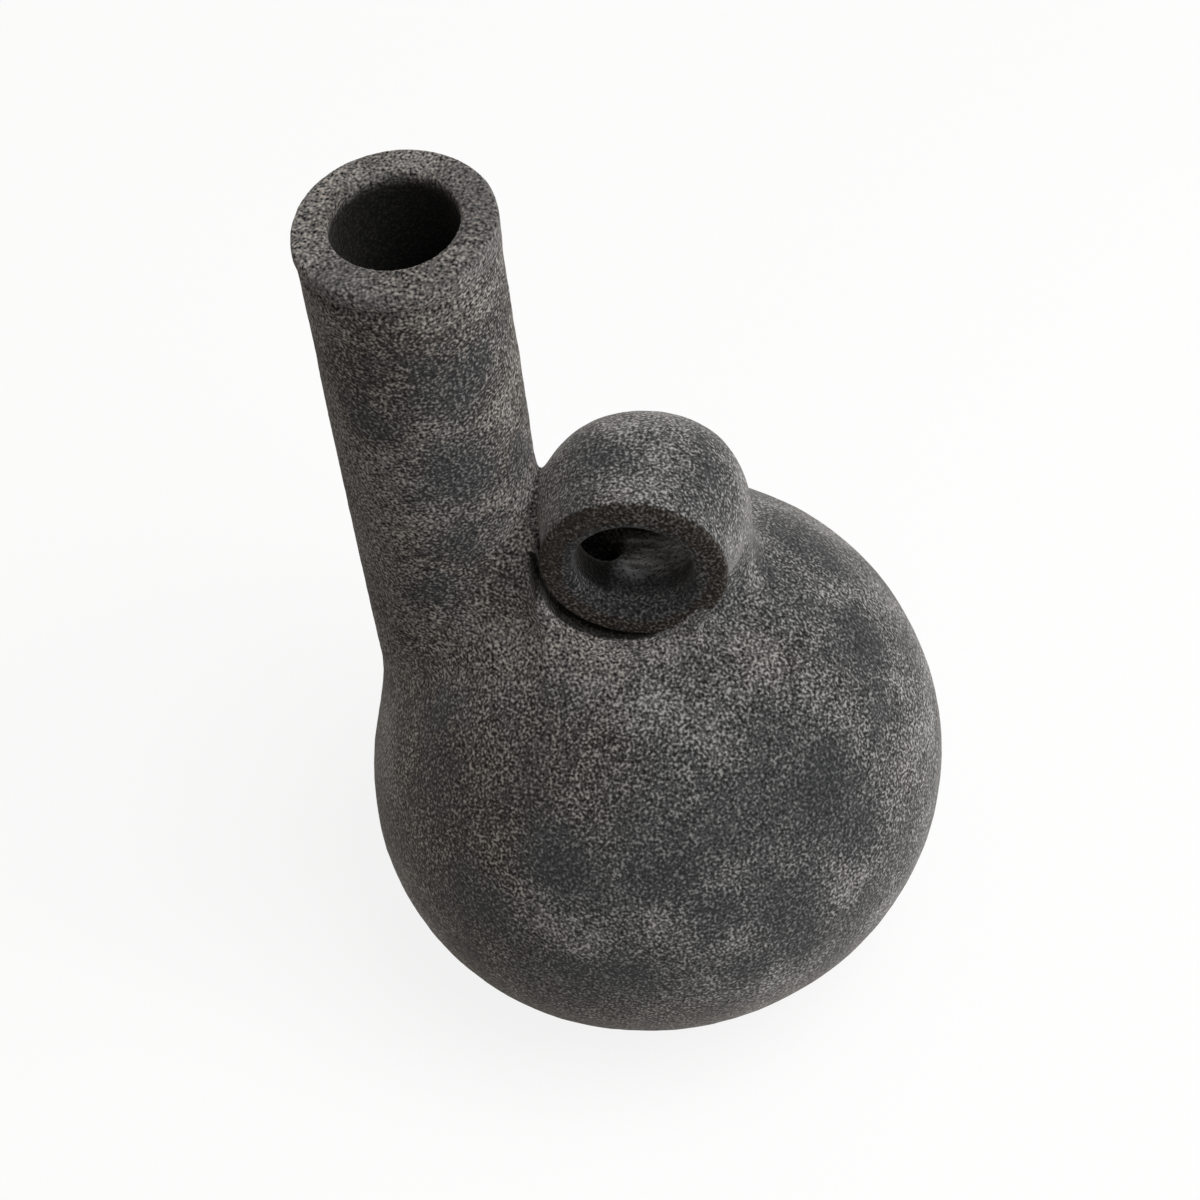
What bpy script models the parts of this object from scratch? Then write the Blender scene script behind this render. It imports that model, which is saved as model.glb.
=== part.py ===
# Hand-built stoneware vase: a round body, a tall neck and a short elbow spout, all hollow.
# Metres, +Z up. The origin is the middle of the underside. The spout faces -Y, the neck stands at -X.

import math

import bmesh
import bpy
from mathutils import Vector

# Body: two half shells that lap at the widest circle
BODY_RADIUS = 0.085
CROWN_RISE = 0.082
BELLY_DEPTH = 0.0745
BODY_CENTRE_HEIGHT = 0.0645
BODY_WALL = 0.010
BODY_LAP = 0.004

# Base slab: a pad inside the foot ring, with a flange that rests on the ring's ledge
SLAB_THICKNESS = 0.010
PAD_RADIUS = 0.034
PAD_DEPTH = 0.005
FLANGE_WIDTH = 0.004

# Neck
NECK_SETOFF = 0.054
ROW_SETBACK = 0.0131
NECK_RADIUS = 0.0268
NECK_BORE = 0.017
NECK_RISE = 0.130
NECK_LIP_LENGTH = 0.012
NECK_LIP_OVERHANG = 0.0004

# Spout: an elbow whose mouth ring is pressed a little into the body. Its sections lean up from a
# level keel line, inside the body under the mouth, like the leaves of a fan.
CROTCH_GAP = 0.0008
RISER_RADIUS = 0.0284
HEEL_RADIUS = 0.0296
MOUTH_RADIUS = 0.0261
SPOUT_WALL = 0.0106
HEEL_ROUND = 0.035
MOUTH_REACH = 0.027
MOUTH_TILT = math.radians(7.2)
MOUTH_SINK = 0.0008
MOUTH_LIP_LENGTH = 0.006
KEEL_DEPTH = 0.040
KEEL_CLEAR = 0.002

# Lips and coils
LIP_ROUND = 0.004
LIP_LAP = 0.003
COIL_ROUND = 0.014
COIL_EDGE = 0.0006
COIL_LEAST_FACE = math.radians(12)

# Clearance between neighbouring pieces
FIT_GAP = 0.0003

# Finish
CLAY_ROUGHNESS = 0.9
SHARP_ANGLE = math.radians(35)
WELD = 1e-7

# Facets
BODY_SEGMENTS = 56
BODY_STEPS = 11
HOLLOW_STEPS = 7
TUBE_SEGMENTS = 40
ELBOW_STEPS = 6
LIP_STEPS = 3
COIL_SEGMENTS = 8
COIL_ARC_STEPS = 5
COIL_FOOT_STEPS = 4

# Places that follow from the sizes above
CROWN_HEIGHT = BODY_CENTRE_HEIGHT + CROWN_RISE
LAP_RADIUS = BODY_RADIUS - BODY_WALL / 2
NECK_AXIS = Vector((-NECK_SETOFF, ROW_SETBACK))
NECK_TOP = CROWN_HEIGHT + NECK_RISE
NECK_JOINT = NECK_TOP - NECK_LIP_LENGTH
SPOUT_HALF_WIDTH = max(RISER_RADIUS, HEEL_RADIUS, MOUTH_RADIUS)
RISER_AXIS = Vector((NECK_AXIS.x + NECK_RADIUS + CROTCH_GAP + SPOUT_HALF_WIDTH, ROW_SETBACK))
SPOUT_BACK = RISER_AXIS.y + RISER_RADIUS
BEND = math.pi / 2 - MOUTH_TILT
MOUTH_NORMAL = Vector((0, -math.cos(MOUTH_TILT), math.sin(MOUTH_TILT)))
MOUTH_UP = Vector((0, math.sin(MOUTH_TILT), math.cos(MOUTH_TILT)))


def body_point(angle, rise, offset):
    """Point (distance from axis, height) on the body's half section, moved out by offset."""
    out = Vector((math.cos(angle) / BODY_RADIUS, math.sin(angle) / rise)).normalized()
    return Vector((BODY_RADIUS * math.cos(angle), rise * math.sin(angle))) + offset * out


def solve_angle(reaches):
    """Angle from the widest circle to the pole where the test turns true."""
    low = 0.0
    high = math.pi / 2
    for _ in range(50):
        middle = (low + high) / 2
        if reaches(middle):
            high = middle
        else:
            low = middle
    return high


def angle_at_height(rise, offset, height):
    return solve_angle(lambda angle: body_point(angle, rise, offset).y >= height)


def angle_at_distance(rise, offset, distance):
    return solve_angle(lambda angle: body_point(angle, rise, offset).x <= distance)


def body_arc(rise, offset, start, end, steps=BODY_STEPS):
    angles = [start + (end - start) * i / steps for i in range(steps + 1)]
    return [body_point(angle, rise, offset) for angle in angles]


def dome_height(distance, offset=0.0):
    angle = angle_at_distance(CROWN_RISE, offset, distance)
    return BODY_CENTRE_HEIGHT + body_point(angle, CROWN_RISE, offset).y


# The mouth's middle stands over the body by its own radius, less the depth it is pressed in
MOUTH_PLAN = RISER_AXIS - Vector((0, MOUTH_REACH))
MOUTH_HEIGHT = dome_height(MOUTH_PLAN.length) + MOUTH_RADIUS - MOUTH_SINK
MOUTH_CENTRE = Vector((MOUTH_PLAN.x, MOUTH_PLAN.y, MOUTH_HEIGHT))
MOUTH_JOINT = MOUTH_CENTRE - MOUTH_LIP_LENGTH * MOUTH_NORMAL
KEEL = MOUTH_JOINT - KEEL_DEPTH * MOUTH_UP


def clay(name, colour):
    material = bpy.data.materials.new(name)
    material.use_nodes = True
    shader = material.node_tree.nodes["Principled BSDF"]
    shader.inputs["Base Color"].default_value = (*colour, 1.0)
    shader.inputs["Roughness"].default_value = CLAY_ROUGHNESS
    shader.inputs["Metallic"].default_value = 0.0
    material.diffuse_color = (*colour, 1.0)
    return material


def finish(name, bm, colour=None, place=(0, 0, 0), turn=(0, 0, 0)):
    """Turn a bmesh into a placed object; without a colour it is a cutter."""
    bmesh.ops.remove_doubles(bm, verts=bm.verts, dist=WELD)
    bmesh.ops.recalc_face_normals(bm, faces=bm.faces)
    mesh = bpy.data.meshes.new(name)
    bm.to_mesh(mesh)
    bm.free()
    mesh.shade_smooth()
    mesh.set_sharp_from_angle(angle=SHARP_ANGLE)
    thing = bpy.data.objects.new(name, mesh)
    bpy.context.collection.objects.link(thing)
    thing.location = place
    thing.rotation_euler = turn
    if colour is None:
        thing.hide_render = True
        thing.display_type = "WIRE"
    else:
        mesh.materials.append(clay(name, colour))
    return thing


def turned(profile, segments):
    """Spin a profile of (distance, height) about Z; one that starts on the axis stays open there."""
    bm = bmesh.new()
    points = [bm.verts.new((distance, 0, height)) for distance, height in profile]
    for near, far in zip(points, points[1:]):
        bm.edges.new((near, far))
    if profile[0][0] > 0:
        bm.edges.new((points[-1], points[0]))
    bmesh.ops.spin(bm, geom=bm.verts[:] + bm.edges[:], axis=(0, 0, 1), cent=(0, 0, 0),
                   angle=2 * math.pi, steps=segments, use_merge=True)
    return bm


def lofted(rings, closed):
    """Skin a list of equal point rings; closed joins the last ring to the first, else the rings are open
    strips and both end sections are capped."""
    bm = bmesh.new()
    rows = [[bm.verts.new(point) for point in ring] for ring in rings]
    count = len(rows[0])
    following = rows[1:] + rows[:1] if closed else rows[1:]
    for row, after in zip(rows, following):
        for i in range(count):
            j = (i + 1) % count
            bm.faces.new((row[i], row[j], after[j], after[i]))
    if not closed:
        bm.faces.new(rows[0])
        bm.faces.new(rows[-1])
    return bm


def cut(thing, cutter):
    modifier = thing.modifiers.new("cut by " + cutter.name, "BOOLEAN")
    modifier.operation = "DIFFERENCE"
    modifier.object = cutter


def shoulder_cutter():
    """The upper body, swollen by the fitting gap, that copes the feet of neck and spout."""
    profile = [(0, CROWN_HEIGHT + FIT_GAP)]
    for point in body_arc(CROWN_RISE, FIT_GAP, math.pi / 2, 0)[1:]:
        profile.append((point.x, BODY_CENTRE_HEIGHT + point.y))
    profile.append((BODY_RADIUS + FIT_GAP, BODY_CENTRE_HEIGHT - BODY_WALL))
    profile.append((0, BODY_CENTRE_HEIGHT - BODY_WALL))
    return finish("shoulder_cutter", turned(profile, BODY_SEGMENTS))


def bore_cutter(name, axis, radius):
    bottom = BODY_CENTRE_HEIGHT + BODY_LAP + 2 * FIT_GAP
    top = CROWN_HEIGHT + BODY_WALL
    profile = [(0, top), (radius, top), (radius, bottom), (0, bottom)]
    return finish(name, turned(profile, TUBE_SEGMENTS), place=(axis.x, axis.y, 0))


def base_slab():
    flange = PAD_RADIUS + FLANGE_WIDTH
    top = SLAB_THICKNESS - FIT_GAP
    ledge = PAD_DEPTH + FIT_GAP
    profile = [(0, top), (flange, top), (flange, ledge), (PAD_RADIUS, ledge), (PAD_RADIUS, 0), (0, 0)]
    finish("base_slab", turned(profile, BODY_SEGMENTS), (0.060, 0.057, 0.054))


def lower_bowl():
    floor = SLAB_THICKNESS - BODY_CENTRE_HEIGHT
    rim = angle_at_height(BELLY_DEPTH, 0, FIT_GAP / 2)
    foot = angle_at_height(BELLY_DEPTH, 0, BODY_CENTRE_HEIGHT)
    outside = [(p.x, -p.y) for p in body_arc(BELLY_DEPTH, 0, rim, foot)]
    ring_bore = PAD_RADIUS + FIT_GAP
    rebate = PAD_RADIUS + FLANGE_WIDTH + FIT_GAP
    ledge = PAD_DEPTH - BODY_CENTRE_HEIGHT
    seat = [(ring_bore, -BODY_CENTRE_HEIGHT), (ring_bore, ledge), (rebate, ledge), (rebate, floor)]
    floor_angle = angle_at_height(BELLY_DEPTH, -BODY_WALL, -floor)
    inside = [(p.x, -p.y) for p in body_arc(BELLY_DEPTH, -BODY_WALL, floor_angle, 0, HOLLOW_STEPS)]
    tongue = LAP_RADIUS - FIT_GAP / 2
    lap = [(BODY_RADIUS - BODY_WALL, BODY_LAP), (tongue, BODY_LAP), (tongue, -FIT_GAP / 2)]
    profile = outside + seat + inside + lap
    finish("lower_bowl", turned(profile, BODY_SEGMENTS), (0.066, 0.063, 0.060), (0, 0, BODY_CENTRE_HEIGHT))


def upper_dome():
    rim = angle_at_height(CROWN_RISE, 0, FIT_GAP / 2)
    lap_top = BODY_LAP + FIT_GAP
    outside = body_arc(CROWN_RISE, 0, math.pi / 2, rim)
    groove = LAP_RADIUS + FIT_GAP / 2
    lap = [(groove, FIT_GAP / 2), (groove, lap_top)]
    lap_angle = angle_at_height(CROWN_RISE, -BODY_WALL, lap_top)
    inside = body_arc(CROWN_RISE, -BODY_WALL, lap_angle, math.pi / 2, HOLLOW_STEPS)
    profile = [(0, outside[0].y)] + outside[1:] + lap + inside[:-1] + [(0, inside[-1].y)]
    dome = finish("upper_dome", turned(profile, BODY_SEGMENTS), (0.072, 0.069, 0.066),
                  (0, 0, BODY_CENTRE_HEIGHT))
    cut(dome, bore_cutter("neck_bore_cutter", NECK_AXIS, NECK_BORE))
    cut(dome, bore_cutter("spout_bore_cutter", RISER_AXIS, RISER_RADIUS - SPOUT_WALL))


def lip_profile(radius, bore, length, overhang):
    """Rounded rim ring whose rebate slips over the tube's inner half; the bore's round ends above it."""
    rim = radius + overhang
    groove = (radius + bore) / 2 + FIT_GAP / 2
    rebate = LIP_LAP + FIT_GAP
    bore_round = min(LIP_ROUND, length - rebate - FIT_GAP)
    profile = [(rim, FIT_GAP)]
    for i in range(LIP_STEPS + 1):
        angle = math.pi / 2 * i / LIP_STEPS
        profile.append((rim - LIP_ROUND + LIP_ROUND * math.cos(angle),
                        length - LIP_ROUND + LIP_ROUND * math.sin(angle)))
    for i in range(LIP_STEPS + 1):
        angle = math.pi / 2 * i / LIP_STEPS
        profile.append((bore + bore_round - bore_round * math.sin(angle),
                        length - bore_round + bore_round * math.cos(angle)))
    profile += [(bore, rebate), (groove, rebate), (groove, FIT_GAP)]
    return profile


def neck_tube(shoulder):
    tongue = (NECK_RADIUS + NECK_BORE) / 2 - FIT_GAP / 2
    profile = [(NECK_RADIUS, NECK_JOINT), (NECK_RADIUS, BODY_CENTRE_HEIGHT), (NECK_BORE, BODY_CENTRE_HEIGHT),
               (NECK_BORE, NECK_JOINT + LIP_LAP), (tongue, NECK_JOINT + LIP_LAP), (tongue, NECK_JOINT)]
    tube = finish("neck_tube", turned(profile, TUBE_SEGMENTS), (0.062, 0.060, 0.058), (*NECK_AXIS, 0))
    cut(tube, shoulder)


def neck_lip():
    profile = lip_profile(NECK_RADIUS, NECK_BORE, NECK_LIP_LENGTH, NECK_LIP_OVERHANG)
    finish("neck_lip", turned(profile, TUBE_SEGMENTS), (0.085, 0.080, 0.076), (*NECK_AXIS, NECK_JOINT))


def coil_trim():
    """Angle of the hollow face given up at each edge, so that the coil keeps an edge thickness."""
    return math.acos(1 - (FIT_GAP + COIL_EDGE) / COIL_ROUND)


def coil_section(angle):
    """Section of the coil in the corner between neck and body: a round hollow face over two flat seats."""
    out = Vector((math.cos(angle), math.sin(angle), 0))
    axis = Vector((*NECK_AXIS, 0))
    centre = axis + (NECK_RADIUS + COIL_ROUND) * out
    body_angle = angle_at_distance(CROWN_RISE, COIL_ROUND, centre.length)
    touch = body_point(body_angle, CROWN_RISE, 0)
    plan = centre.normalized()
    touch = Vector((plan.x * touch.x, plan.y * touch.x, BODY_CENTRE_HEIGHT + touch.y))
    centre.z = dome_height(centre.length, COIL_ROUND)
    to_neck = -out
    to_body = (touch - centre).normalized()
    span = to_neck.angle(to_body)
    trim = coil_trim()
    face = []
    for i in range(COIL_ARC_STEPS + 1):
        swing = trim + (span - 2 * trim) * i / COIL_ARC_STEPS
        arm = (math.sin(span - swing) * to_neck + math.sin(swing) * to_body) / math.sin(span)
        face.append(centre + COIL_ROUND * arm)
    seat = NECK_RADIUS + FIT_GAP
    corner = axis + seat * out
    far = Vector((face[-1].x, face[-1].y, 0))
    foot = []
    for i in range(COIL_FOOT_STEPS + 1):
        spot = far.lerp(corner, i / COIL_FOOT_STEPS)
        foot.append(Vector((spot.x, spot.y, dome_height(spot.length, FIT_GAP))))
    top = Vector((corner.x, corner.y, face[0].z))
    return [top] + face + foot


def neck_coils():
    """A front and a back coil. They fade out where the neck runs flush with the body's side,
    and stop short of the spout."""
    reach = NECK_RADIUS + COIL_ROUND
    near_spout = math.acos((NECK_RADIUS + CROTCH_GAP - COIL_ROUND - FIT_GAP) / reach)
    least_span = 2 * coil_trim() + COIL_LEAST_FACE
    fade = math.acos(((BODY_RADIUS + COIL_ROUND) * math.cos(least_span) - reach) / NECK_AXIS.length)
    outward = math.atan2(NECK_AXIS.y, NECK_AXIS.x)
    runs = {
        "neck_front_coil": (outward + fade - 2 * math.pi, -near_spout),
        "neck_back_coil": (near_spout, outward - fade),
    }
    for name, (start, end) in runs.items():
        steps = range(COIL_SEGMENTS + 1)
        sections = [coil_section(start + (end - start) * i / COIL_SEGMENTS) for i in steps]
        finish(name, lofted(sections, closed=False), (0.064, 0.061, 0.058))


def heel_distance(turn):
    """From the keel line to the elbow's outer line, at an angle up from level: back wall, heel, top."""
    ray = Vector((math.cos(turn), math.sin(turn)))
    keel = KEEL.yz
    top_normal = MOUTH_UP.yz
    top_level = (MOUTH_JOINT + MOUTH_RADIUS * MOUTH_UP).yz.dot(top_normal)
    hub_y = SPOUT_BACK - HEEL_ROUND
    hub_z = (top_level - HEEL_ROUND - hub_y * top_normal.x) / top_normal.y
    hub = Vector((hub_y, hub_z))
    to_back = (SPOUT_BACK - keel.x) / ray.x
    if (keel + to_back * ray).y <= hub_z:
        return to_back
    to_top = (top_level - keel.dot(top_normal)) / ray.dot(top_normal)
    if (keel + to_top * ray - hub).dot(MOUTH_NORMAL.yz) >= 0:
        return to_top
    arm = hub - keel
    along = arm.dot(ray)
    return along + math.sqrt(HEEL_ROUND ** 2 - (arm.dot(arm) - along ** 2))


def elbow_ring(turn, wall, inner_start, inner_end):
    """Oval section of the elbow in the plane that leans up from the keel line by the angle turn."""
    share = turn / BEND
    start = RISER_RADIUS + (HEEL_RADIUS - RISER_RADIUS) * min(1, 2 * share)
    side = start + (MOUTH_RADIUS - HEEL_RADIUS) * max(0, 2 * share - 1) ** 2 - wall
    outer = heel_distance(turn) - wall
    inner = inner_start + (inner_end - inner_start) * share
    middle = (outer + inner) / 2
    half = (outer - inner) / 2
    ring = []
    for i in range(TUBE_SEGMENTS):
        angle = 2 * math.pi * i / TUBE_SEGMENTS
        reach = middle + half * math.sin(angle)
        ring.append(Vector((RISER_AXIS.x + side * math.cos(angle),
                            KEEL.y + reach * math.cos(turn), KEEL.z + reach * math.sin(turn))))
    return ring


def skin_ring(turn):
    return elbow_ring(turn, 0, KEEL_CLEAR, KEEL_DEPTH - MOUTH_RADIUS)


def bore_ring(turn):
    front = RISER_AXIS.y - (RISER_RADIUS - SPOUT_WALL) - KEEL.y
    return elbow_ring(turn, SPOUT_WALL, front, KEEL_DEPTH - MOUTH_RADIUS + SPOUT_WALL)


def mouth_ring(radius, ahead):
    middle = MOUTH_JOINT + ahead * MOUTH_NORMAL
    ring = []
    for i in range(TUBE_SEGMENTS):
        angle = 2 * math.pi * i / TUBE_SEGMENTS
        ring.append(middle + radius * (math.cos(angle) * Vector((1, 0, 0)) + math.sin(angle) * MOUTH_UP))
    return ring


def moved(ring, step):
    return [point + step for point in ring]


def spout(shoulder):
    """Riser and outlet, mitred in the plane half way round the bend."""
    half_bend = BEND / 2
    travel = Vector((0, -math.sin(half_bend), math.cos(half_bend)))
    half_gap = FIT_GAP / 2 * travel
    turns = [half_bend * i / ELBOW_STEPS for i in range(ELBOW_STEPS)]

    sink = Vector((0, 0, BODY_CENTRE_HEIGHT - KEEL.z))
    skin = [skin_ring(turn) for turn in turns] + [moved(skin_ring(half_bend), -half_gap)]
    bore = [bore_ring(turn) for turn in turns] + [moved(bore_ring(half_bend), -half_gap)]
    rings = [moved(skin[0], sink)] + skin + bore[::-1] + [moved(bore[0], sink)]
    riser = finish("spout_riser", lofted(rings, closed=True), (0.080, 0.077, 0.074))
    cut(riser, shoulder)

    turns = [BEND - turn for turn in turns[::-1]]
    skin = [moved(skin_ring(half_bend), half_gap)] + [skin_ring(turn) for turn in turns]
    bore = [moved(bore_ring(half_bend), half_gap)] + [bore_ring(turn) for turn in turns]
    tongue = MOUTH_RADIUS - SPOUT_WALL / 2 - FIT_GAP / 2
    collar = [mouth_ring(tongue, 0), mouth_ring(tongue, LIP_LAP),
              mouth_ring(MOUTH_RADIUS - SPOUT_WALL, LIP_LAP)]
    outlet = finish("spout_outlet", lofted(skin + collar + bore[::-1], closed=True), (0.078, 0.075, 0.072))
    cut(outlet, shoulder)


def mouth_lip(shoulder):
    profile = lip_profile(MOUTH_RADIUS, MOUTH_RADIUS - SPOUT_WALL, MOUTH_LIP_LENGTH, 0)
    lip = finish("mouth_lip", turned(profile, TUBE_SEGMENTS), (0.058, 0.053, 0.049),
                 MOUTH_JOINT, (BEND, 0, 0))
    cut(lip, shoulder)


def main():
    for thing in list(bpy.data.objects):
        bpy.data.objects.remove(thing)
    shoulder = shoulder_cutter()
    base_slab()
    lower_bowl()
    upper_dome()
    neck_tube(shoulder)
    neck_lip()
    neck_coils()
    spout(shoulder)
    mouth_lip(shoulder)


main()
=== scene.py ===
# Studio picture of a hand-built stoneware vase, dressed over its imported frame.

import math

import bpy
from mathutils import Matrix, Vector


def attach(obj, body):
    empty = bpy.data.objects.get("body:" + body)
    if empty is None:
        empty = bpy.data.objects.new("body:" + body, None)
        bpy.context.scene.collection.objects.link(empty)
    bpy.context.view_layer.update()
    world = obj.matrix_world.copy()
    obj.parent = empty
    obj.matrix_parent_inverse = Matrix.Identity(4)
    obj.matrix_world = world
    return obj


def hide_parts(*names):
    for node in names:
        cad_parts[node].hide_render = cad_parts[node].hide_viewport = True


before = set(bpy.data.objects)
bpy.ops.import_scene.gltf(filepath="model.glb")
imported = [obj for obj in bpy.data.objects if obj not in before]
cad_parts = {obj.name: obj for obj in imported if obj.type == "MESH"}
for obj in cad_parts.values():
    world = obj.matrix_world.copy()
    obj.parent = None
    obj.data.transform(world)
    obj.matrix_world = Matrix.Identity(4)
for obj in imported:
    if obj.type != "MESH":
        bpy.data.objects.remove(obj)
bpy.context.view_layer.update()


class Field:
    # a number that varies in space, so that shapes can be written as plain sums in a node tree
    def __init__(self, tree, socket):
        self.tree = tree
        self.socket = socket

    def maths(self, operation, *others):
        node = self.tree.nodes.new("ShaderNodeMath")
        node.operation = operation
        for slot, item in zip(node.inputs, (self,) + others):
            plug(self.tree, item, slot)
        return Field(self.tree, node.outputs[0])

    def __add__(self, other):
        return self.maths("ADD", other)

    def __sub__(self, other):
        return self.maths("SUBTRACT", other)

    def __mul__(self, other):
        return self.maths("MULTIPLY", other)

    def __truediv__(self, other):
        return self.maths("DIVIDE", other)

    def __neg__(self):
        return self.maths("MULTIPLY", -1.0)

    def above(self, other):
        return self.maths("GREATER_THAN", other)

    def most(self, other):
        return self.maths("MAXIMUM", other)

    def least(self, other):
        return self.maths("MINIMUM", other)

    def merge(self, other, reach):
        return self.maths("SMOOTH_MIN", other, reach)      # union with a fillet

    def trim(self, other, reach):
        return self.maths("SMOOTH_MAX", other, reach)      # intersection with a rounded edge

    def span(self, other):
        return (self * self + other * other).maths("SQRT")

    def ease(self, start, end):
        node = self.tree.nodes.new("ShaderNodeMapRange")
        node.interpolation_type = "SMOOTHSTEP"
        plug(self.tree, self, node.inputs["Value"])
        plug(self.tree, start, node.inputs["From Min"])
        plug(self.tree, end, node.inputs["From Max"])
        return Field(self.tree, node.outputs["Result"])


def plug(tree, item, slot):
    if isinstance(item, Field):
        item = item.socket
    if isinstance(item, bpy.types.NodeSocket):
        tree.links.new(item, slot)
    else:
        slot.default_value = item


def newTree(name, kind="GeometryNodeTree"):
    tree = bpy.data.node_groups.new(name, kind)
    return tree, tree.nodes.new("NodeGroupInput"), tree.nodes.new("NodeGroupOutput")


def addInput(tree, name, kind="NodeSocketFloat", default=None):
    slot = tree.interface.new_socket(name, in_out="INPUT", socket_type=kind)
    if default is not None:
        slot.default_value = default
    return slot


def addOutput(tree, name, kind="NodeSocketFloat"):
    tree.interface.new_socket(name, in_out="OUTPUT", socket_type=kind)


def noiseNode(tree, place, scale, detail, seed=None, roughness=0.5):
    node = tree.nodes.new("ShaderNodeTexNoise")
    if seed is not None:
        node.noise_dimensions = "4D"        # the seed is the fourth coordinate
        node.inputs["W"].default_value = seed
    tree.links.new(place, node.inputs["Vector"])
    plug(tree, scale, node.inputs["Scale"])
    node.inputs["Detail"].default_value = detail
    node.inputs["Roughness"].default_value = roughness
    return node


def noiseField(tree, place, scale, detail, seed, roughness=0.5):
    return Field(tree, noiseNode(tree, place, scale, detail, seed, roughness).outputs["Fac"])


def vectorMaths(tree, operation, *items):
    node = tree.nodes.new("ShaderNodeVectorMath")
    node.operation = operation
    slots = [node.inputs[0], node.inputs["Scale"]] if operation == "SCALE" else node.inputs
    for slot, item in zip(slots, items):
        plug(tree, item, slot)
    return node.outputs["Value" if operation in ("DOT_PRODUCT", "DISTANCE") else "Vector"]


def axes(tree, vector):
    node = tree.nodes.new("ShaderNodeSeparateXYZ")
    tree.links.new(vector, node.inputs[0])
    return [Field(tree, slot) for slot in node.outputs]


# Sizes of the clay forms, in metres: the frame's own, and the marks that the hands left on them
clayForms = {
    "Body Radius": 0.085,
    "Crown Rise": 0.082,
    "Belly Depth": 0.0745,
    "Body Centre": 0.0645,
    "Body Wall": 0.010,
    "Belly Lean": 0.0046,           # the hand-made belly sags to the left, and the crown to the right
    "Crown Lean": 0.0028,
    "Neck X": -0.054,
    "Row Y": 0.0131,
    "Neck Radius": 0.0268,
    "Neck Bore": 0.0173,
    "Neck Top": 0.2765,
    "Rim Round": 0.0034,
    "Rim Swell": 0.0012,            # the rim was pressed out over the neck
    "Rim Crease": 0.0009,           # and left a crease under its front left
    "Riser X": 0.0027,
    "Heel Drift": 0.0004,           # the bend strays this far left of the mouth
    "Heel Square": 0.20,            # and has fuller shoulders than a round tube
    "Thumb End": 0.0290,
    "Riser Bore": 0.0082,           # the bore into the body was pushed through left of the middle
    "Riser Bore Side": 0.0160,
    "Riser Bore Y": 0.0095,
    "Heel Radius": 0.0300,
    "Heel Round": 0.035,
    "Spout Back": 0.0415,
    "Mouth Y": -0.0139,
    "Mouth Z": 0.1707,
    "Mouth Radius": 0.0261,
    "Spout Wall": 0.0094,
    "Mouth Tilt": math.radians(7.2),
    "Face Tilt": math.radians(2.5),
    "Face Y": -0.0161,
    "Wobble": 0.0008,               # how far the hands left the walls from true
}
wallSway = {"scale": 15.0, "detail": 2.0, "seed": 3.1}
# where the neck's rim was rolled out and creased: sides of the neck, and spans below the top
rimMarks = {"front": ((0.0, -1.0), -0.2, 1.0), "backRight": ((0.7, 0.7), 0.0, 1.0),
            "frontLeft": ((-0.6, -0.8), 0.1, 0.9), "frontRoll": (0.0066, 0.0046), "backRoll": (0.020, 0.003),
            "backShare": 0.5, "creaseTop": (0.0050, 0.0064), "creaseFoot": (0.0100, 0.0068)}
spoutBend = {"fullness": (0.002, 0.026), "roundPower": 2.0, "thumbRound": 0.016, "boreBlend": 0.009}


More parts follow.
